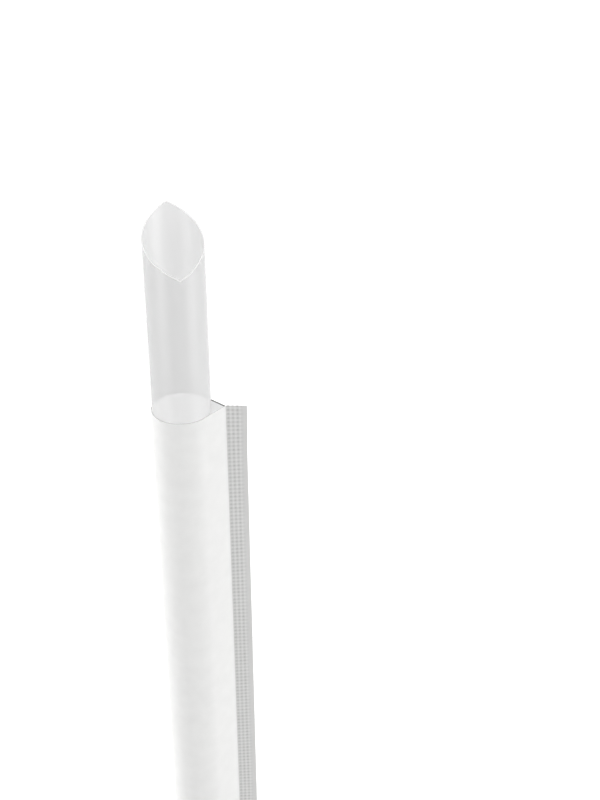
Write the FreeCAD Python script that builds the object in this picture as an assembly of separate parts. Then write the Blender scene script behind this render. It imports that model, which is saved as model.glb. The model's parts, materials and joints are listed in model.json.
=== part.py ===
import FreeCAD, Part
import math
import os

Vector = FreeCAD.Vector

# A wide clear drinking straw in its opened paper wrapper, in millimetres.
# It lies on its side: the straw runs along Y with its slanted tip at +Y, +Z is up,
# the wrapper's fin seal stands out level towards +X, and the floor is Z = 0.

# Straw, one extruded tube whose tip was cut while the tube was pinched flat
straw_diameter = 12.0
straw_wall = 0.2
straw_length = 230.0      # from the point of the tip to the square end
cut_angle = 31.0          # slant of the cut across the flattened tube, in degrees
notch_turn = 10.5         # from straight up towards the fin, where the tip's notch lies

# Wrapper, one web of thin paper: sleeve, fin seal along its side and crimped foot
paper = 0.08
straw_clearance = 0.1     # between the straw and the sleeve
bared_length = 43.4       # straw that stands out of the opened end
root_reach = 2.65         # how far the sleeve is drawn out sideways to the root of the fin
fin_width = 4.2
fin_plain_edge = 1.0      # outer band of the fin that the crimping wheels leave plain
foot_gap = 0.5            # from the straw's square end to where the sleeve starts to flatten
taper_length = 11.5       # from round sleeve to flat foot
seal_length = 8.0         # flat crimped foot
seal_plain_edge = 2.0     # outer band of the foot that is left plain
ridge_pitch = 1.0         # from one crimped ridge to the next, in the fin and in the foot
ridge_rise = 0.08         # of a ridge above the middle of the seal, and of a groove below it
slit = 0.02               # height at which the flattened sleeve's hollow ends
same_way = 1              # a ruled surface follows both of its edges in their own direction

# Sleeve's section, a circle drawn out to the root of the fin by two tangents
straw_radius = straw_diameter / 2
bore_radius = straw_radius - straw_wall
inner_radius = straw_radius + straw_clearance
outer_radius = inner_radius + paper
axis_height = outer_radius
root_distance = inner_radius + root_reach
tangent_turn = math.acos(inner_radius / root_distance)
tangent_length = inner_radius * math.tan(tangent_turn)
fold_turn = math.pi * paper / outer_radius / 2
arc_length = (math.pi - tangent_turn) * (inner_radius + paper / 2)

# Flattened foot, as wide as half the sleeve's way round, and spread evenly to both sides
flat_width = arc_length + tangent_length
round_middle = (root_distance - outer_radius) / 2
flat_left = round_middle - flat_width / 2
flat_root = round_middle + flat_width / 2
flat_bend = flat_root - tangent_length
flat_height = ridge_rise + paper

# Stations along the straw, and the middle of the whole
tip_rise = math.pi * straw_radius * math.tan(math.radians(cut_angle))
whole_length = straw_length + foot_gap + taper_length + seal_length
tip_y = whole_length / 2
mouth_y = tip_y - bared_length
taper_y = tip_y - straw_length - foot_gap
seal_y = taper_y - taper_length
axis_x = -(flat_left + flat_root + fin_width) / 2


def edge(start, end, rise=0.0):
    """A straight edge, or an arc whose middle stands up from the line by rise."""
    if rise == 0.0:
        return Part.LineSegment(start, end).toShape()
    middle = (start + end) / 2 + Vector(0, 0, rise)
    return Part.Arc(start, middle, end).toShape()


def ridge_stops(width, plain_edge):
    """Distances along a seal at which each half ridge starts and the last one ends."""
    half = ridge_pitch / 2
    count = 2 * int((width - plain_edge) / ridge_pitch)
    first = width - plain_edge - count * half
    return [first + half * i for i in range(count + 1)]


def seal_side(place, width, plain_edge, rise):
    """One face of a seal seen edge on, from its root out to its edge."""
    stops = ridge_stops(width, plain_edge)
    edges = [edge(place(0), place(stops[0]))] if stops[0] > 1e-6 else []
    for i in range(len(stops) - 1):
        way = rise if i % 2 == 0 else -rise
        edges.append(edge(place(stops[i]), place(stops[i + 1]), way))
    edges.append(edge(place(stops[-1]), place(width)))
    return edges


def fin_outline(root_x, root_z, y, rise):
    """The fin's section from its upper root round its edge to its lower root."""
    def upper(u):
        return Vector(root_x + u, y, root_z + paper)

    def lower(u):
        return Vector(root_x + u, y, root_z - paper)

    out = seal_side(upper, fin_width, fin_plain_edge, rise)
    back = seal_side(lower, fin_width, fin_plain_edge, rise)
    return out + [edge(upper(fin_width), lower(fin_width))] + back[::-1]


def round_point(radius, turn, y):
    """A point on the sleeve's circle, turned up from the fin's side."""
    return Vector(radius * math.cos(turn), y, axis_height + radius * math.sin(turn))


def arc_part(radius, start, end, y):
    """The stretch of the sleeve's circle between two turns."""
    points = [round_point(radius, turn, y) for turn in (start, (start + end) / 2, end)]
    return Part.Arc(*points).toShape()


def round_arcs(radius, y):
    """The sleeve's circle from the lower tangent round the far side to the upper one."""
    turns = [-tangent_turn, fold_turn - math.pi, -fold_turn - math.pi, tangent_turn - 2 * math.pi]
    return [arc_part(radius, turns[i], turns[i + 1], y) for i in range(3)]


def round_outer(y):
    """Outside of the round sleeve with its fin."""
    root_x = root_distance + paper * math.tan((math.pi / 2 - tangent_turn) / 2)
    above = round_point(outer_radius, tangent_turn, y)
    below = round_point(outer_radius, -tangent_turn, y)
    fin = fin_outline(root_x, axis_height, y, ridge_rise)
    root_above = Vector(root_x, y, axis_height + paper)
    root_below = Vector(root_x, y, axis_height - paper)
    return [edge(above, root_above)] + fin + [edge(root_below, below)] + round_arcs(outer_radius, y)


def round_inner(y):
    """Inside of the round sleeve."""
    root = Vector(root_distance, y, axis_height)
    above = round_point(inner_radius, tangent_turn, y)
    below = round_point(inner_radius, -tangent_turn, y)
    return [edge(above, root), edge(root, below)] + round_arcs(inner_radius, y)


def flat_arcs(half_height, y):
    """The flattened sleeve away from the fin, with the same stretches as round_arcs."""
    fold_x = flat_left + half_height
    low = Vector(fold_x, y, flat_height - half_height)
    high = Vector(fold_x, y, flat_height + half_height)
    fold = Part.Arc(low, Vector(flat_left, y, flat_height), high).toShape()
    bend_low = Vector(flat_bend, y, flat_height - half_height)
    bend_high = Vector(flat_bend, y, flat_height + half_height)
    return [edge(bend_low, low), fold, edge(high, bend_high)]


def flat_outer(y):
    """Outside of the sleeve where it is flat, with its fin."""
    bend_low = Vector(flat_bend, y, flat_height - paper)
    bend_high = Vector(flat_bend, y, flat_height + paper)
    root_low = Vector(flat_root, y, flat_height - paper)
    root_high = Vector(flat_root, y, flat_height + paper)
    fin = fin_outline(flat_root, flat_height, y, 0.0)
    return [edge(bend_high, root_high)] + fin + [edge(root_low, bend_low)] + flat_arcs(paper, y)


def flat_inner(y):
    """Inside of the sleeve where its two layers close on each other."""
    root = Vector(flat_root, y, flat_height)
    bend_low = Vector(flat_bend, y, flat_height - slit / 2)
    bend_high = Vector(flat_bend, y, flat_height + slit / 2)
    return [edge(bend_high, root), edge(root, bend_low)] + flat_arcs(slit / 2, y)


def prism(edges, length):
    """A solid drawn from a section along +Y."""
    return Part.Face(Part.Wire(edges)).extrude(Vector(0, length, 0))


def flattening(round_edges, flat_edges):
    """The solid between a round and a flat section, with straight lines from edge to edge."""
    faces = [Part.makeRuledSurface(a, b, same_way) for a, b in zip(round_edges, flat_edges)]
    faces.append(Part.Face(Part.Wire(round_edges)))
    faces.append(Part.Face(Part.Wire(flat_edges)))
    shell = Part.makeShell(faces)
    shell.sewShape()
    solid = Part.makeSolid(Part.Shell(shell.Faces))
    if solid.Volume < 0:
        solid.reverse()
    return solid


def foot_seal():
    """The crimped foot, a thin plate with ridges across it."""
    def lower(u):
        return Vector(flat_left + paper, seal_y - u, flat_height - paper)

    def upper(u):
        return Vector(flat_left + paper, seal_y - u, flat_height + paper)

    bottom = seal_side(lower, seal_length, seal_plain_edge, ridge_rise)
    top = seal_side(upper, seal_length, seal_plain_edge, ridge_rise)
    start = edge(upper(0), lower(0))
    end = edge(lower(seal_length), upper(seal_length))
    face = Part.Face(Part.Wire([start] + bottom + [end] + top[::-1]))
    return face.extrude(Vector(flat_width - paper + fin_width, 0, 0))


def wrapper():
    """The paper sleeve with its fin, its flattened foot and its open mouth."""
    sleeve_length = mouth_y - taper_y
    outside = prism(round_outer(taper_y), sleeve_length)
    outside = outside.fuse([flattening(round_outer(taper_y), flat_outer(seal_y)), foot_seal()])
    hollow = prism(round_inner(taper_y), sleeve_length)
    hollow = hollow.fuse(flattening(round_inner(taper_y), flat_inner(seal_y)))
    return outside.cut(hollow).removeSplitter().Solids[0]


def cut_off():
    """What the slanted cut takes away above the tip, along Z with the notch towards +X."""
    margin = straw_wall
    radii = (bore_radius - margin, straw_radius + margin)
    inner, outer = [Part.makeHelix(2 * tip_rise, tip_rise, radius).Edges[0] for radius in radii]
    half = Part.makeRuledSurface(inner, outer, same_way).extrude(Vector(0, 0, tip_rise + margin))
    return [half, half.mirror(Vector(0, 0, 0), Vector(0, 1, 0))]


def straw():
    """The tube with its pinch-cut tip, laid along Y in the sleeve."""
    tube = Part.makeCylinder(straw_radius, straw_length)
    tube = tube.cut(Part.makeCylinder(bore_radius, straw_length))
    for piece in cut_off():
        piece.translate(Vector(0, 0, straw_length - tip_rise))
        tube = tube.cut(piece)
    tube.rotate(Vector(0, 0, 0), Vector(0, 0, 1), notch_turn - 90)
    tube.rotate(Vector(0, 0, 0), Vector(1, 0, 0), -90)
    tube.translate(Vector(0, tip_y - straw_length, axis_height))
    return tube.Solids[0]


os.makedirs("parts", exist_ok=True)
for name, shape in (("straw", straw()), ("wrapper", wrapper())):
    shape.translate(Vector(axis_x, 0, 0))
    print(name, "valid" if shape.isValid() else "broken", round(shape.Volume, 1), "cubic mm")
    shape.exportStep("parts/" + name + ".step")
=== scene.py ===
import json
import math
import bmesh
import bpy
import numpy as np
from mathutils import Matrix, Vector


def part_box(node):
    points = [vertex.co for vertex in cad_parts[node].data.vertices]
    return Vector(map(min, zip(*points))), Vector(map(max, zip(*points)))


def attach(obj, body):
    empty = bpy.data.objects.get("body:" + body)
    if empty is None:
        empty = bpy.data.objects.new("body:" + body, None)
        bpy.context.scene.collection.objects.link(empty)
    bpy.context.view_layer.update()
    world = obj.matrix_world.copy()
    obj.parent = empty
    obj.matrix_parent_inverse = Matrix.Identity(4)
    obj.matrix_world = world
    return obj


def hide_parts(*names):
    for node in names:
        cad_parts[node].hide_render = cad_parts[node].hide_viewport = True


# A wide clear drinking straw in its opened paper wrapper, lying on a pale table.
# +Y runs along the straw to its slanted tip, +X points to the wrapper's fin seal, +Z is up.

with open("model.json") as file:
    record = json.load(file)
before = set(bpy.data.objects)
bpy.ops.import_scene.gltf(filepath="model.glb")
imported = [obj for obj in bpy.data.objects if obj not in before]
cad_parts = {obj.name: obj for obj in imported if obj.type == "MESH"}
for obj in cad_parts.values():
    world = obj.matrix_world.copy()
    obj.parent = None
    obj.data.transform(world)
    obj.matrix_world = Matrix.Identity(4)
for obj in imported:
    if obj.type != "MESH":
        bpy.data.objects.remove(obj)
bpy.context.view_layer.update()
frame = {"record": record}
mm = 0.001
mounts = {m["name"]: m for m in frame["record"]["mounts"]}
axisX, _, axisZ = mounts["straw_bore"]["pos_m"]   # the straw's axis runs along Y
boreRadius = mounts["straw_bore"]["dims"]["r_mm"] * mm
strawRadius = mounts["straw_outside"]["dims"]["r_mm"] * mm
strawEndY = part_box("straw")[0].y
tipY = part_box("straw")[1].y
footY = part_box("wrapper")[0].y
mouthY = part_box("wrapper")[1].y
sharpDegrees = 50   # faces that meet at more than this look sharp


def smooth(low, high, x):
    # smoothstep: 0 below low, 1 above high, and an S curve between
    t = np.clip((x - low) / (high - low), 0, 1)
    return t * t * (3 - 2 * t)


def gridFaces(rows, columns, wrapRows=False, wrapColumns=False):
    # quads between neighbouring points of a grid that is numbered row by row
    i = np.arange(rows if wrapRows else rows - 1)[:, None]
    j = np.arange(columns if wrapColumns else columns - 1)[None, :]
    iNext, jNext = (i + 1) % rows, (j + 1) % columns
    corners = [i * columns + j, i * columns + jNext, iNext * columns + jNext, iNext * columns + j]
    return np.stack(np.broadcast_arrays(*corners), -1).reshape(-1, 4)


def makePiece(name, points, faces, material):
    # points as an array of places in metres, faces as lists of their numbers
    mesh = bpy.data.meshes.new(name)
    mesh.from_pydata(points.reshape(-1, 3), [], [[int(n) for n in face] for face in faces])
    work = bmesh.new()
    work.from_mesh(mesh)
    bmesh.ops.recalc_face_normals(work, faces=work.faces)
    work.to_mesh(mesh)
    work.free()
    mesh.materials.append(material)
    mesh.shade_smooth()
    mesh.set_sharp_from_angle(angle=math.radians(sharpDegrees))
    piece = bpy.data.objects.new(name, mesh)
    bpy.context.scene.collection.objects.link(piece)
    return piece


def addAttribute(piece, name, values):
    layer = piece.data.attributes.new(name, "FLOAT", "POINT")
    layer.data.foreach_set("value", np.ascontiguousarray(values, dtype=np.float32).ravel())


# Materials

def linear(hexColour):
    # sRGB hex to linear red, green, blue and 1
    parts = [int(hexColour[i:i + 2], 16) / 255 for i in (1, 3, 5)]
    return [c / 12.92 if c <= 0.04045 else ((c + 0.055) / 1.055) ** 2.4 for c in parts] + [1.0]


def newMaterial(name):
    material = bpy.data.materials.new(name)
    material.use_nodes = True
    material.node_tree.nodes.clear()
    return material, material.node_tree


def addNode(tree, kind, settings=None, **inputs):
    # a node with its settings, and each input set to a value or linked to a socket; an input goes
    # by its number after an underscore, as in _0, or by its name with underscores for the spaces
    node = tree.nodes.new(kind)
    for key, value in (settings or {}).items():
        setattr(node, key, value)
    for key, value in inputs.items():
        place = int(key[1:]) if key[1:].isdigit() else key.replace("_", " ")
        socket = node.inputs[place]
        if isinstance(value, bpy.types.NodeSocket):
            tree.links.new(value, socket)
        else:
            socket.default_value = value
    return node


plastic = {
    "haze": 0.27,            # share of light that one skin of the milky polypropylene scatters
    "hazeColour": "#f2f2f2",
    "boreColour": "#f0f0f0",   # the same of the inner skin, a little darker: painted shade that darkens the tip, where the inner skin is seen first
    "hazeThrough": 0.2,      # share of the haze that scatters onwards
    "cutHaze": 0.75,         # haze where the blade whitened the edge of the cut
    "cutColour": "#f6f6f6",
    "tint": "#fdfdfd",       # what each skin lets through, met head on
    "edgeTint": "#e4e4e4",   # the same where a ray grazes it and runs a long way in the wall
    "grazing": 0.25,         # how soon the edge tint sets in, from 0 to 1
    "castTint": "#fbfbfb",   # what each skin lets through of the light on the things behind it
    "mirror": 0.5,           # share of a perfect skin's gloss that the drawn skin keeps
    "roughness": 0.3,
    "ior": 1.49,             # polypropylene
}


def makeClearPlastic():
    # Clear polypropylene, extruded: a little milky, with the soft gloss of its chilled skin, seen
    # straight through because its wall is thin, and whitened where the blade cut it. Only the
    # faces that a ray meets from outside the wall mirror, so that no light is caught inside it.
    # The lamps' light and the light that other things scatter pass both skins almost whole.
    material, tree = newMaterial("clear extruded polypropylene")
    slant = addNode(tree, "ShaderNodeLayerWeight", Blend=plastic["grazing"]).outputs["Facing"]
    clear = addNode(tree, "ShaderNodeMix", {"data_type": "RGBA"}, _0=slant,
                    _6=linear(plastic["tint"]), _7=linear(plastic["edgeTint"]))
    see = addNode(tree, "ShaderNodeBsdfTransparent", Color=clear.outputs[2])
    bore = addNode(tree, "ShaderNodeAttribute", {"attribute_name": "bore"}).outputs["Fac"]
    # the inner skin takes a slightly darker colour, a painted shade on the tip
    skins = addNode(tree, "ShaderNodeMix", {"data_type": "RGBA"}, _0=bore,
                    _6=linear(plastic["hazeColour"]), _7=linear(plastic["boreColour"]))
    cut = addNode(tree, "ShaderNodeAttribute", {"attribute_name": "cut"}).outputs["Fac"]
    colour = addNode(tree, "ShaderNodeMix", {"data_type": "RGBA"}, _0=cut,
                     _6=skins.outputs[2], _7=linear(plastic["cutColour"]))
    milk = addNode(tree, "ShaderNodeBsdfPrincipled", Base_Color=colour.outputs[2],
                   Roughness=plastic["roughness"], IOR=plastic["ior"])
    onwards = addNode(tree, "ShaderNodeBsdfTranslucent", Color=colour.outputs[2])
    haze = addNode(tree, "ShaderNodeMixShader", _0=plastic["hazeThrough"], _1=milk.outputs[0],
                   _2=onwards.outputs[0])
    share = addNode(tree, "ShaderNodeMapRange", _0=cut, _3=plastic["haze"], _4=plastic["cutHaze"])
    body = addNode(tree, "ShaderNodeMixShader", _0=share.outputs[0], _1=see.outputs[0],
                   _2=haze.outputs[0])
    gloss = addNode(tree, "ShaderNodeBsdfAnisotropic", Color=linear("#ffffff"),
                    Roughness=plastic["roughness"])
    fresnel = addNode(tree, "ShaderNodeFresnel", IOR=plastic["ior"])
    inside = addNode(tree, "ShaderNodeNewGeometry").outputs["Backfacing"]
    outside = addNode(tree, "ShaderNodeMapRange", _0=inside, _3=plastic["mirror"], _4=0.0)
    mirror = addNode(tree, "ShaderNodeMath", {"operation": "MULTIPLY"}, _0=fresnel.outputs[0],
                     _1=outside.outputs[0])
    skin = addNode(tree, "ShaderNodeMixShader", _0=mirror.outputs[0], _1=body.outputs[0],
                   _2=gloss.outputs[0])
    path = addNode(tree, "ShaderNodeLightPath").outputs
    free = addNode(tree, "ShaderNodeBsdfTransparent", Color=linear(plastic["castTint"]))
    unlit = addNode(tree, "ShaderNodeMixShader", _0=path["Is Diffuse Ray"], _1=skin.outputs[0],
                    _2=free.outputs[0])
    window = addNode(tree, "ShaderNodeMixShader", _0=path["Is Shadow Ray"], _1=unlit.outputs[0],
                     _2=free.outputs[0])
    addNode(tree, "ShaderNodeOutputMaterial", Surface=window.outputs[0])
    return material


paperLook = {
    "colour": "#f7f7f6",
    "insideColour": "#f3f3f3",   # the unglazed side
    "tornColour": "#585858",   # painted shade: a dark band inside the torn edge at the mouth, which draws the rim as a line
    "tornEdgeMm": 0.35,
    "roughness": 0.45,
    "cloudSizeMm": 3.0,      # size of the cloudy patches of the pulp
    "cloudRange": (0.3, 0.7),   # the noise's values for a thick patch and for a thin one
    "cloudDepth": 0.03,      # how much darker a thick patch is
    "fibreSizeMm": 0.25,     # fibres, drawn coarser than real ones so that they show
    "fibreHeightMm": 0.004,
    "waveSizeMm": 9.0,       # soft waves of the sheet
    "waveHeightMm": 0.35,
    "pressedShade": 0.32,    # how much darker the dots of the seals are: partly the crushed paper's own tone, partly painted shade in the dimples
    "raisedShade": 1.08,     # painted highlight on the paper that stands up between four dots
    "bondedShade": 0.32,     # painted shade: how much darker the two bonded layers of the fin and the foot are, for the sleeve's shade on the fin
    "bondedThrough": 0.2,    # share of light that passes on through them
    "through": 0.5,          # share of light that passes on through the sheet
    "insideThrough": 0.1,    # the same where it meets the inside
    "lightPassing": 0.866,   # share of the light on it that reaches what the sheet covers
}


def makePaper():
    # Thin white uncoated paper, calendered on one side: matt, softly clouded, and so thin that
    # light glows through. It scatters light where a ray meets the sheet, and not again where the
    # ray leaves it. Most of the lamps' light and of the light that other things scatter passes
    # straight on to what the sheet covers.
    material, tree = newMaterial("thin white wrapping paper")
    place = addNode(tree, "ShaderNodeTexCoord").outputs["Object"]
    cloud = addNode(tree, "ShaderNodeTexNoise", Vector=place,
                    Scale=1 / (paperLook["cloudSizeMm"] * mm), Detail=3.0, Roughness=0.5)
    thick, thinPatch = paperLook["cloudRange"]
    shade = addNode(tree, "ShaderNodeMapRange", _0=cloud.outputs["Fac"], _1=thick, _2=thinPatch,
                    _3=1 - paperLook["cloudDepth"], _4=1.0)
    pressed = addNode(tree, "ShaderNodeAttribute", {"attribute_name": "pressed"}).outputs["Fac"]
    # the dots of the seals: painted shade in the pressed dots, partly the crushed paper's tone, and
    # painted highlight where the paper stands up between them
    dotShading = addNode(tree, "ShaderNodeMapRange", _0=pressed, _1=-wrap["raisedShare"],
                      _3=paperLook["raisedShade"], _4=1 - paperLook["pressedShade"])
    bonded = addNode(tree, "ShaderNodeAttribute", {"attribute_name": "bonded"}).outputs["Fac"]
    # painted shade on the fin and the foot seals, where the paper is bonded
    double = addNode(tree, "ShaderNodeMapRange", _0=bonded, _3=1.0, _4=1 - paperLook["bondedShade"])
    grey = addNode(tree, "ShaderNodeMath", {"operation": "MULTIPLY"}, _0=dotShading.outputs[0],
                   _1=double.outputs[0])
    level = addNode(tree, "ShaderNodeMath", {"operation": "MULTIPLY"}, _0=shade.outputs[0],
                    _1=grey.outputs[0])
    inside = addNode(tree, "ShaderNodeAttribute", {"attribute_name": "inside"}).outputs["Fac"]
    y = addNode(tree, "ShaderNodeSeparateXYZ", Vector=place).outputs["Y"]
    # painted shade: over this width inside the mouth's torn edge the paper is painted dark and lets
    # no light through, a dark line along the rim
    atMouth = addNode(tree, "ShaderNodeMapRange", _0=y, _1=mouthY - paperLook["tornEdgeMm"] * mm,
                      _2=mouthY - paperLook["tornEdgeMm"] * mm / 2)
    torn = addNode(tree, "ShaderNodeMath", {"operation": "MULTIPLY"}, _0=inside,
                   _1=atMouth.outputs[0])
    side = addNode(tree, "ShaderNodeMix", {"data_type": "RGBA"}, _0=inside,
                   _6=linear(paperLook["colour"]), _7=linear(paperLook["insideColour"]))
    stuff = addNode(tree, "ShaderNodeMix", {"data_type": "RGBA"}, _0=torn.outputs[0],
                    _6=side.outputs[2], _7=linear(paperLook["tornColour"]))
    tone = addNode(tree, "ShaderNodeVectorMath", {"operation": "SCALE"}, _0=stuff.outputs[2],
                   Scale=level.outputs[0])
    fibre = addNode(tree, "ShaderNodeTexNoise", Vector=place,
                    Scale=1 / (paperLook["fibreSizeMm"] * mm), Detail=2.0, Roughness=0.6)
    fine = addNode(tree, "ShaderNodeBump", Height=fibre.outputs["Fac"], Strength=1.0,
                   Distance=paperLook["fibreHeightMm"] * mm)
    wave = addNode(tree, "ShaderNodeTexNoise", Vector=place,
                   Scale=1 / (paperLook["waveSizeMm"] * mm), Detail=1.0, Roughness=0.4)
    bump = addNode(tree, "ShaderNodeBump", Height=wave.outputs["Fac"], Strength=1.0,
                   Distance=paperLook["waveHeightMm"] * mm, Normal=fine.outputs[0])
    front = addNode(tree, "ShaderNodeBsdfPrincipled", Base_Color=tone.outputs[0],
                    Roughness=paperLook["roughness"], Normal=bump.outputs[0])
    behind = addNode(tree, "ShaderNodeBsdfTranslucent", Color=tone.outputs[0])
    single = addNode(tree, "ShaderNodeMapRange", _0=inside, _3=paperLook["through"],
                     _4=paperLook["insideThrough"])
    edge = addNode(tree, "ShaderNodeMapRange", _0=torn.outputs[0], _3=1.0, _4=0.0)
    plain = addNode(tree, "ShaderNodeMath", {"operation": "MULTIPLY"}, _0=single.outputs[0],
                    _1=edge.outputs[0])
    through = addNode(tree, "ShaderNodeMapRange", _0=bonded, _3=plain.outputs[0],
                      _4=paperLook["bondedThrough"])
    both = addNode(tree, "ShaderNodeMixShader", _0=through.outputs[0], _1=front.outputs[0],
                   _2=behind.outputs[0])
    leaving = addNode(tree, "ShaderNodeNewGeometry").outputs["Backfacing"]
    free = addNode(tree, "ShaderNodeBsdfTransparent")
    sheet = addNode(tree, "ShaderNodeMixShader", _0=leaving, _1=both.outputs[0], _2=free.outputs[0])
    path = addNode(tree, "ShaderNodeLightPath").outputs
    thin = addNode(tree, "ShaderNodeMixShader", _0=paperLook["lightPassing"],
                   _1=sheet.outputs[0], _2=free.outputs[0])
    unlit = addNode(tree, "ShaderNodeMixShader", _0=path["Is Diffuse Ray"], _1=sheet.outputs[0],
                    _2=thin.outputs[0])
    window = addNode(tree, "ShaderNodeMixShader", _0=path["Is Shadow Ray"], _1=unlit.outputs[0],
                     _2=thin.outputs[0])
    addNode(tree, "ShaderNodeOutputMaterial", Surface=window.outputs[0])
    return material


# Straw

strawShape = {
    "cutDegrees": 31.0,      # slant of the cut across the pinched tube
    "notchTurnDegrees": 10.5,   # from straight up towards the fin
    "around": 144,           # columns of the mesh
    "rows": 60,
    "nearCutMm": (0.05, 0.1, 0.15, 0.3, 0.6),   # further rows, this far from the cut
    "whitenedMm": 0.15,      # how far the cut whitens the plastic
    "rimSteps": 6,
    "tipRounding": 0.035,    # share of the half way round over which the tip's point is rounded
}


def makeStraw(material):
    # A tube whose length depends on the turn round it: the cut edge falls evenly from the point
    # at the back to the notch at the front, as a straight cut across the pinched tube leaves it,
    # and follows a parabola close to the point, which rounds it. The wall's section is carried
    # round: outer wall, rounded rim, inner wall, rounded end.
    shape = strawShape
    half = shape["around"] // 2
    turn = np.arange(shape["around"]) * math.pi / half - math.pi   # 0 at the notch
    notch = math.radians(shape["notchTurnDegrees"])
    rise = math.pi * strawRadius * math.tan(math.radians(shape["cutDegrees"]))
    rimHalf = (strawRadius - boreRadius) / 2
    middle = (strawRadius + boreRadius) / 2
    toTip, soft = 1 - np.abs(turn) / math.pi, shape["tipRounding"]
    toTip = np.where(toTip < soft, toTip ** 2 / (2 * soft) + soft / 2, toTip)
    edgeY = tipY - rise * toTip - rimHalf
    lowY = strawEndY + rimHalf
    up = np.linspace(0, 1, shape["rows"])
    near = 1 - np.array(shape["nearCutMm"][::-1]) * mm / (tipY - lowY)
    up = np.concatenate([up[up < near[0]], near, [1.0]])
    bend = np.linspace(0, math.pi, shape["rimSteps"] + 1)[1:-1]
    # each point of the section: radius, share of the way up, and step past it
    radius = np.concatenate([0 * up + strawRadius, middle + rimHalf * np.cos(bend),
                             0 * up + boreRadius, middle - rimHalf * np.cos(bend)])
    share = np.concatenate([up, 0 * bend + 1, up[::-1], 0 * bend])
    past = np.concatenate([0 * up, rimHalf * np.sin(bend), 0 * up, -rimHalf * np.sin(bend)])
    y = lowY + share[:, None] * (edgeY[None, :] - lowY) + past[:, None]
    x = axisX + radius[:, None] * np.sin(turn + notch)[None, :]
    z = axisZ + radius[:, None] * np.cos(turn + notch)[None, :]
    faces = gridFaces(len(radius), shape["around"], wrapRows=True, wrapColumns=True)
    straw = makePiece("clearStraw", np.stack([x, y, z], -1), faces, material)
    below = (1 - share)[:, None] * (edgeY[None, :] - lowY)
    addAttribute(straw, "cut", 1 - smooth(0, shape["whitenedMm"] * mm, below))
    addAttribute(straw, "bore", np.broadcast_to(radius[:, None] < middle, below.shape))
    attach(straw, "root")
    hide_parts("straw")
    return straw


# Wrapper

wrap = {
    "paperMm": 0.08,
    "clearanceMm": 0.1,      # between the straw and the sleeve
    "rootReachMm": 2.65,     # how far the sleeve is drawn out to the fin's root
    "finMm": 4.2,
    "finPlainMm": 1.0,       # outer band of the fin without dots
    "taperMm": 11.5,
    "sealMm": 8.0,
    "sealPlainMm": 2.0,      # outer band of the foot without dots
    "slitMm": 0.02,          # height of the hollow where the sleeve has become flat
    "finFirstRowMm": 0.5,    # first row of crimped dots, from the fin's root
    "finRowPitchMm": 0.9,    # between rows of dots of the fin
    "finDotPitchMm": 0.98,   # along a row of the fin, about
    "footRowPitchMm": 1.0,
    "footDotPitchMm": 0.83,
    "bandEdgeMm": 0.25,      # over which a band of dots fades out at its borders
    "crossing": 0.5,         # how much weaker the foot's dots are on top of the fin's
    "dotDepthMm": 0.08,
    "dotScatter": 0.35,      # how much weaker the weakest dot is
    "dotSlope": (0.3, 1.7),  # the sum of two cosines at a dot's rim and at its flat middle
    "raisedSlope": (0.6, 1.8),   # the same, negative, where the paper stands up between dots
    "raisedShare": 0.5,      # how high it stands up there, for a dot that is 1 deep
    "finSlantMm": 0.3,       # how far the torn end of the fin falls towards its outer edge
    "finFlareMm": 0.2,       # how far the fin's edge stands out at the mouth
    "finLooseMm": 14.0,      # from the mouth, where the opening loosened the fin
    "finWaveMm": 0.1,        # how far the fin's edge waves up and down
    "finWaveLengthMm": 46.0,
    "finRipple": (0.6, 1.71),   # height and number of a second kind of wave, for each of these
    "taperSoft": 0.12,       # share of the taper over which its start is rounded
    "pleatMm": 0.28,         # height of the soft pleats where the sleeve is pressed flat
    "pleatPitchMm": 3.4,
    "pleatPeakMm": 1.5,      # from the seal to where they are highest
    "pleatSides": (0.8, 1.7, 2.1),   # ways round, as in roundHalf: where full, fading and ended
    "pleatLean": 0.25,       # how far they lean, for each mm from the seal
    "pleatLeanMm": 2.3,      # width over which the lean changes by one radian
    "finPlainColumns": 3,
    "finRowColumns": 5,      # columns of the mesh to each row of dots
    "tangentColumns": 13,
    "arcColumns": 29,
    "foldColumns": 2,
    "dotSteps": 6,           # fine rows of the fin to each dot
    "sleeveDots": 2,         # dots beside each row of the sleeve
    "footSteps": 3,          # fine columns of the foot to each column of the sleeve
    "footRowSteps": 6,       # rows of the mesh to each row of dots
}

paper = wrap["paperMm"] * mm
innerRadius = strawRadius + wrap["clearanceMm"] * mm
outerRadius = innerRadius + paper
rootX = innerRadius + wrap["rootReachMm"] * mm
tangentTurn = math.acos(innerRadius / rootX)
outerRootX = rootX + paper * math.tan((math.pi / 2 - tangentTurn) / 2)
tangentLength = innerRadius * math.tan(tangentTurn)
flatWidth = (math.pi - tangentTurn) * (innerRadius + paper / 2) + tangentLength
flatLeft = (rootX - outerRadius) / 2 - flatWidth / 2
flatRoot = (rootX - outerRadius) / 2 + flatWidth / 2
flatHeight = (wrap["dotDepthMm"] + wrap["paperMm"]) * mm
foldTurn = math.pi * paper / outerRadius / 2
slit = wrap["slitMm"] * mm / 2
finWidth = wrap["finMm"] * mm
sealY = footY + wrap["sealMm"] * mm
taperY = sealY + wrap["taperMm"] * mm
finFirstRow = wrap["finFirstRowMm"] * mm
finRowPitch = wrap["finRowPitchMm"] * mm
finDotEnd = finWidth - wrap["finPlainMm"] * mm
sleeveRows = round((mouthY - sealY) / (wrap["finDotPitchMm"] * mm * wrap["sleeveDots"]))
finDotPitch = (mouthY - sealY) / (sleeveRows * wrap["sleeveDots"])
footRowPitch = wrap["footRowPitchMm"] * mm
footDotPitch = wrap["footDotPitchMm"] * mm
footDotEnd = (wrap["sealMm"] - wrap["sealPlainMm"]) * mm
scatterAcross, scatterAlong, scatterGain = 12.9898, 78.233, 43758.5453   # large and unrelated


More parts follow.
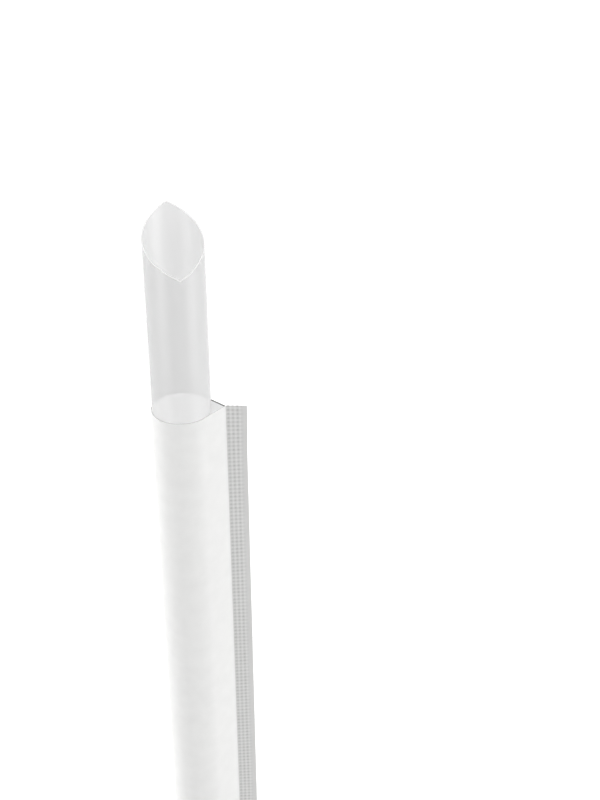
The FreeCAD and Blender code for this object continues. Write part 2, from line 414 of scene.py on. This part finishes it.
def roundHalf(radius, startX, startZ, share):
    # half of the round sleeve's section, as x from the axis and height over the fin's plane:
    # share 0..1 is the tangent, 1..2 the arc, 2..3 the small bend that becomes the foot's fold
    endX, endZ = radius * math.cos(tangentTurn), radius * math.sin(tangentTurn)
    first = np.clip(share, 0, 1)
    turn = tangentTurn + (math.pi - foldTurn - tangentTurn) * np.clip(share - 1, 0, 1)
    turn = turn + foldTurn * np.clip(share - 2, 0, 1)
    x = np.where(share > 1, radius * np.cos(turn), startX + (endX - startX) * first)
    return x, np.where(share > 1, radius * np.sin(turn), startZ + (endZ - startZ) * first)


def flatHalf(halfHeight, share):
    # the same half pressed flat: two level stretches, then the quarter round of the fold
    bendX, foldX = flatRoot - tangentLength, flatLeft + paper
    level = flatRoot + (bendX - flatRoot) * np.clip(share, 0, 1)
    level = level + (foldX - bendX) * np.clip(share - 1, 0, 1)
    turn = math.pi / 2 * (1 + np.clip(share - 2, 0, 1))
    x = np.where(share > 2, foldX + halfHeight * np.cos(turn), level)
    return x, np.where(share > 2, halfHeight * np.sin(turn), halfHeight)


def flatness(y):
    # 0 in the round sleeve and 1 in the foot, along straight lines with a softened start
    soft = wrap["taperSoft"]
    t = np.clip((taperY - y) / (taperY - sealY), 0, 1)
    return np.where(t < soft, t * t / (2 * soft), t - soft / 2) / (1 - soft / 2)


def dots(across, along, rowPitch, dotPitch):
    # rows of round dots, up to 1 in the middle of a dot that is pressed down, and less than 0 in
    # the middle of four dots, where the paper stands up; the fraction of a large sine scatters them
    wave = np.cos(2 * math.pi * across / rowPitch) + np.cos(2 * math.pi * along / dotPitch)
    row, number = np.round(across / rowPitch), np.round(along / dotPitch)
    scatter = np.sin(scatterAcross * row + scatterAlong * number) * scatterGain
    strength = 1 - wrap["dotScatter"] * (scatter - np.floor(scatter))
    down = strength * smooth(*wrap["dotSlope"], wave)
    return down - wrap["raisedShare"] * smooth(*wrap["raisedSlope"], -wave)


def crimp(outward, x, y):
    # how deep the crimping wheels pressed: rows along the fin, and rows across the foot
    edge = wrap["bandEdgeMm"] * mm
    finBand = smooth(0, edge, outward) * smooth(finDotEnd + edge, finDotEnd - 2 * edge, outward)
    fin = finBand * dots(outward - finFirstRow, mouthY - y, finRowPitch, finDotPitch)
    down = sealY - y
    footBand = smooth(0, edge, down) * smooth(footDotEnd + edge, footDotEnd - edge, down)
    foot = footBand * dots(down - footRowPitch / 2, x, footRowPitch, footDotPitch)
    return fin + foot * (1 - wrap["crossing"] * np.abs(fin))


def unevenness(share, x, y, side):
    # height that soft pleats add to the upper half of the sleeve where it is pressed flat: a sine
    # across it, strongest just before the seal, and 0 at the fin's root and at the far fold
    if side < 0:
        return 0 * x
    peakY = sealY + wrap["pleatPeakMm"] * mm
    full, fade, end = wrap["pleatSides"]
    band = smooth(sealY, peakY, y) * smooth(taperY, peakY, y)
    band = band * smooth(0, full, share) * smooth(end, fade, share)
    lean = x + wrap["pleatLean"] * (y - sealY) * np.sin(x / (wrap["pleatLeanMm"] * mm))
    pleat = 0.5 + 0.5 * np.sin(2 * math.pi * lean / (wrap["pleatPitchMm"] * mm))
    return wrap["pleatMm"] * mm * band * pleat


def sheet(outward, share, y, side, outside=True):
    # places on the wrapper: outward is the way out from the root along the fin, share the way
    # round the sleeve, y the way along it, and side 1 above or -1 below the fin's plane
    outward, share, y = np.broadcast_arrays(outward, share, y)
    if outside:
        roundX, roundZ = roundHalf(outerRadius, outerRootX, paper, share)
        flatX, flatZ = flatHalf(paper, share)
    else:
        roundX, roundZ = roundHalf(innerRadius, rootX, slit, share)
        flatX, flatZ = flatHalf(slit, share)
    f = flatness(y)
    x = roundX + (flatX - roundX) * f + outward
    z = axisZ + (flatHeight - axisZ) * f + side * (roundZ + (flatZ - roundZ) * f)
    pressed = crimp(outward, x, y) if outside else 0 * x
    z = z - wrap["dotDepthMm"] * mm * pressed + unevenness(share, x, y, side)
    # the fin waves along two sines, and near the mouth it stands out and its end is torn aslant
    out, near = outward / finWidth, smooth(mouthY - wrap["finLooseMm"] * mm, mouthY, y)
    wave = 2 * math.pi * (mouthY - y) / (wrap["finWaveLengthMm"] * mm)
    height, number = wrap["finRipple"]
    wave = np.sin(wave) + height * np.sin(number * wave + 1)
    z = np.maximum(z + wrap["finWaveMm"] * mm * wave * out ** 2 * (1 - f), 0)
    x = x + wrap["finFlareMm"] * mm * out * near
    y = y - wrap["finSlantMm"] * mm * out * near ** 4
    bonded = np.where((outward > 0) | (outside & (y <= sealY)), 1.0, 0.0)
    return np.stack([axisX + x, y, z], -1), pressed, bonded


def makeWrapper(material):
    # The outside is a sheet with two parameters, the way round it from the fin's edge to the far
    # fold and the way along it, made once above and once below the fin's plane. The fin is fine
    # along its length and the foot fine across it, to carry the dots, and faces with more
    # corners join fine points to coarse ones. The inside is a second sheet, closed at the foot.
    shape = wrap
    column = finRowPitch / shape["finRowColumns"]
    rootGap = finFirstRow % column
    stops = rootGap + column * np.arange(int((finDotEnd - rootGap) / column) + 1)
    plain = np.linspace(finWidth, stops[-1], shape["finPlainColumns"] + 1)[:-1]
    outward = np.concatenate([plain, stops[::-1], [0]])
    share = np.concatenate([np.arange(shape["tangentColumns"]) / shape["tangentColumns"],
                            1 + np.arange(shape["arcColumns"]) / shape["arcColumns"],
                            2 + np.arange(shape["foldColumns"] + 1) / shape["foldColumns"]])
    step, foot = shape["dotSteps"] * shape["sleeveDots"], shape["footSteps"]
    yCoarse = np.linspace(mouthY, sealY, sleeveRows + 1)
    yFine = np.linspace(mouthY, sealY, sleeveRows * step + 1)
    footRows = round((sealY - footY) / footRowPitch * shape["footRowSteps"])
    yFoot = np.linspace(sealY, footY, footRows + 1)
    fineColumns = np.arange((len(share) - 1) * foot + 1) / foot
    shareFine = np.interp(fineColumns, np.arange(len(share)), share)
    points, pressed, bonded, inner, polygons, count = [], [], [], [], [], 0

    def add(outwardHere, shareHere, yHere, side, outside=True):
        # a grid of points with a row for each y, and its numbers
        nonlocal count
        places, depth, double = sheet(outwardHere[None, :], shareHere[None, :], yHere[:, None],
                                      side, outside)
        points.append(places.reshape(-1, 3))
        pressed.append(depth.ravel())
        bonded.append(double.ravel())
        inner.append(np.full(depth.size, float(not outside)))
        numbers = np.arange(count, count + depth.size).reshape(depth.shape)
        count += depth.size
        return numbers

    def quads(numbers):
        corners = [numbers[:-1, :-1], numbers[:-1, 1:], numbers[1:, 1:], numbers[1:, :-1]]
        polygons.extend(np.stack(corners, -1).reshape(-1, 4))

    def between(upper, lower):
        quads(np.stack([upper, lower]))

    columns = len(outward)
    fold = add(np.zeros(1), share[-1:], yCoarse[:-1], 1)
    foldFoot = add(np.zeros(1), share[-1:], yFoot, 1)
    foldInside = add(np.zeros(1), share[-1:], yCoarse, 1, False)
    halves = []
    for side in (1, -1):
        fin = add(outward, 0 * outward, yFine[:-1], side)
        sleeve = add(0 * share[1:-1], share[1:-1], yCoarse[:-1], side)
        footOutward = np.concatenate([outward, 0 * shareFine[1:-1]])
        footShare = np.concatenate([0 * outward, shareFine[1:-1]])
        seal = np.concatenate([add(footOutward, footShare, yFoot, side), foldFoot], 1)
        inside = add(0 * share[1:], share[:-1], yCoarse, side, False)
        inside = np.concatenate([inside, foldInside], 1)
        fin = np.concatenate([fin, seal[:1, :columns]])
        body = np.concatenate([fin[:-1:step, -1:], sleeve, fold], 1)
        quads(fin)
        quads(seal)
        quads(body[:, 1:])
        quads(inside)
        # the fine root of the fin meets the coarse sleeve, and the coarse sleeve the fine foot
        root, across = fin[:, -1], seal[0, columns - 1:]
        root = np.stack([root[i:len(root) - step + i:step] for i in range(step + 1)], -1)
        across = np.stack([across[i:len(across) - foot + i:foot] for i in range(foot + 1)], -1)
        polygons.extend(np.concatenate([root[:-1], body[1:, 1:2], body[:-1, 1:2]], 1))
        polygons.extend(np.concatenate([across[1:], body[-1, 2:, None], body[-1, 1:-1, None]], 1))
        polygons.append(np.concatenate([root[-1], across[0, 1:], body[-1, 1:2]]))
        halves.append((fin, seal, body, inside))
    (fin, seal, body, inside), (finLow, sealLow, bodyLow, insideLow) = halves
    # edges of the paper: the mouth, the fin's outer edge and mouth end, the foot's end
    between(body[0], inside[0])
    between(bodyLow[0], insideLow[0])
    polygons.append([fin[0, -1], inside[0, 0], insideLow[0, 0], finLow[0, -1]])
    between(fin[0], finLow[0])
    between(fin[:, 0], finLow[:, 0])
    between(seal[:, 0], sealLow[:, 0])
    between(seal[-1, :-1], sealLow[-1, :-1])
    polygons.append([seal[-1, -2], seal[-1, -1], sealLow[-1, -2]])
    between(inside[:, 0], insideLow[:, 0])
    between(inside[-1, :-1], insideLow[-1, :-1])
    polygons.append([inside[-1, -2], inside[-1, -1], insideLow[-1, -2]])
    wrapper = makePiece("paperWrapper", np.concatenate(points), polygons, material)
    addAttribute(wrapper, "pressed", np.concatenate(pressed))
    addAttribute(wrapper, "bonded", np.concatenate(bonded))
    addAttribute(wrapper, "inside", np.concatenate(inner))
    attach(wrapper, "root")
    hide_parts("wrapper")
    return wrapper


# Table, camera and lights

studio = {
    "tableHalfWidth": 3.0,   # metres
    "tableColour": "#ffffff",
    "tableWhite": 0.22,      # glow added to what the camera and reflections see of it bare
    "tableBehind": "#e0e0e0",   # painted shade: its colour through one wall of the clear plastic
    "tableDeep": "#9c9c9c",  # painted shade: the same through two walls
    "skyStrength": 0.31,     # light of the white tent around the table, where it is darkest
    "skySides": 0.6,         # added by its bright walls on both sides
    "skySeen": 1.0,          # how bright the surroundings look in reflections
    # lamps: place in metres, width and length, power in watts; all aim at the middle
    "lamps": {
        "leftSoftbox": ((-1.65, 0.1, 1.36), 1.6, 2.6, 29.5),
        "rightSoftbox": ((1.88, 0.1, 1.04), 1.6, 2.6, 41.0),
    },
}


def seenDirectly(tree):
    # 1 for what the camera, a reflection or clear plastic sees, 0 for light that falls on things
    path = addNode(tree, "ShaderNodeLightPath").outputs
    some = addNode(tree, "ShaderNodeMath", {"operation": "MAXIMUM"}, _0=path["Is Camera Ray"],
                   _1=path["Is Glossy Ray"])
    return addNode(tree, "ShaderNodeMath", {"operation": "MAXIMUM"}, _0=some.outputs[0],
                   _1=path["Is Transmission Ray"]).outputs[0]


def makeTable():
    # White matt laminate. It looks white where it is seen bare, and behind the plastic it is
    # painted greyer, a painted shade whose walls each count as two crossings, so that the straw
    # keeps the shade of its middle.
    material, tree = newMaterial("matt white table top")
    path = addNode(tree, "ShaderNodeLightPath").outputs
    crossed = path["Transparent Depth"]
    behind = addNode(tree, "ShaderNodeMath", {"operation": "MULTIPLY", "use_clamp": True},
                     _0=crossed, _1=seenDirectly(tree))
    oneWall = addNode(tree, "ShaderNodeMix", {"data_type": "RGBA"}, _0=behind.outputs[0],
                      _6=linear(studio["tableColour"]), _7=linear(studio["tableBehind"]))
    deeper = addNode(tree, "ShaderNodeMapRange", _0=crossed, _1=2.0, _2=4.0,
                     _4=path["Is Camera Ray"])
    colour = addNode(tree, "ShaderNodeMix", {"data_type": "RGBA"}, _0=deeper.outputs[0],
                     _6=oneWall.outputs[2], _7=linear(studio["tableDeep"]))
    plain = addNode(tree, "ShaderNodeBsdfDiffuse", Color=colour.outputs[2])
    whole = addNode(tree, "ShaderNodeMapRange", _0=crossed, _3=studio["tableWhite"], _4=0.0)
    level = addNode(tree, "ShaderNodeMath", {"operation": "MULTIPLY"}, _0=seenDirectly(tree),
                    _1=whole.outputs[0])
    glow = addNode(tree, "ShaderNodeEmission", Color=linear("#ffffff"), Strength=level.outputs[0])
    both = addNode(tree, "ShaderNodeAddShader", _0=plain.outputs[0], _1=glow.outputs[0])
    addNode(tree, "ShaderNodeOutputMaterial", Surface=both.outputs[0])
    half = studio["tableHalfWidth"]
    corners = np.array([[-half, -half, 0], [half, -half, 0], [half, half, 0], [-half, half, 0]])
    table = makePiece("table", corners, [[0, 1, 2, 3]], material)


view = {
    "lensPixels": 1650.0,    # focal length in pixels of a picture 800 high
    "pictureHeight": 800,
    "sensorMm": 24.0,
    "mouthToCameraMm": (2.3, 179.5, 281.2),   # from the middle of the wrapper's mouth
    "lookDownDegrees": 32.4,   # how far the camera leans from straight above towards the tip
    "sideDegrees": -4.4,     # and round the straw's axis towards the fin
    "rollDegrees": -0.4,
}


def makeCamera():
    # the axes of the picture: back from the scene to the lens, up, and right
    names = ("lookDownDegrees", "sideDegrees", "rollDegrees")
    down, side, roll = (math.radians(view[name]) for name in names)
    back = np.array([math.cos(down) * math.sin(side), math.sin(down),
                     math.cos(down) * math.cos(side)])
    up = np.array([0, 1, 0]) - back * back[1]
    up = up / np.linalg.norm(up)
    right = np.cross(up, back)
    right, up = (right * math.cos(roll) + up * math.sin(roll),
                 up * math.cos(roll) - right * math.sin(roll))
    data = bpy.data.cameras.new("camera")
    data.sensor_fit = "VERTICAL"
    data.sensor_height = view["sensorMm"]
    data.lens = view["lensPixels"] / view["pictureHeight"] * data.sensor_height
    data.clip_start = 0.01   # metres
    camera = bpy.data.objects.new("camera", data)
    place = np.array([axisX, mouthY, axisZ]) + np.array(view["mouthToCameraMm"]) * mm
    axes = np.column_stack([right, up, back, place])
    camera.matrix_world = Matrix(axes.tolist() + [[0, 0, 0, 1]])
    bpy.context.scene.collection.objects.link(camera)
    bpy.context.scene.camera = camera


def makeLights():
    for name, (place, width, length, power) in studio["lamps"].items():
        data = bpy.data.lights.new(name, "AREA")
        data.shape = "RECTANGLE"
        data.size, data.size_y, data.energy = width, length, power
        lamp = bpy.data.objects.new(name, data)
        back = np.array(place) / np.linalg.norm(place)
        right = np.cross([0, 1, 0], back)
        right = right / np.linalg.norm(right)
        axes = np.column_stack([right, np.cross(back, right), back, place])
        lamp.matrix_world = Matrix(axes.tolist() + [[0, 0, 0, 1]])
        bpy.context.scene.collection.objects.link(lamp)
    world = bpy.data.worlds.new("paleStudio")
    world.use_nodes = True
    tree = world.node_tree
    tree.nodes.clear()
    direction = addNode(tree, "ShaderNodeTexCoord").outputs["Generated"]
    side = addNode(tree, "ShaderNodeSeparateXYZ", Vector=direction).outputs["X"]
    wall = addNode(tree, "ShaderNodeMath", {"operation": "MULTIPLY"}, _0=side, _1=side)
    light = addNode(tree, "ShaderNodeMath", {"operation": "MULTIPLY_ADD"}, _0=wall.outputs[0],
                    _1=studio["skySides"], _2=studio["skyStrength"])
    level = addNode(tree, "ShaderNodeMix", _0=seenDirectly(tree), _2=light.outputs[0],
                    _3=studio["skySeen"])
    sky = addNode(tree, "ShaderNodeBackground", Color=linear("#ffffff"), Strength=level.outputs[0])
    addNode(tree, "ShaderNodeOutputWorld", Surface=sky.outputs[0])
    bpy.context.scene.world = world


makeCamera()
makeLights()
makeTable()
clearPlastic = makeClearPlastic()
whitePaper = makePaper()
print("stage: camera, lights, table and materials are made")
makeStraw(clearPlastic)
print("stage: the straw is made")
makeWrapper(whitePaper)
print("stage: the wrapper is made")
bpy.context.scene.view_settings.view_transform = "Standard"
bpy.context.scene.cycles.transparent_max_bounces = 32   # a line of sight can cross many skins
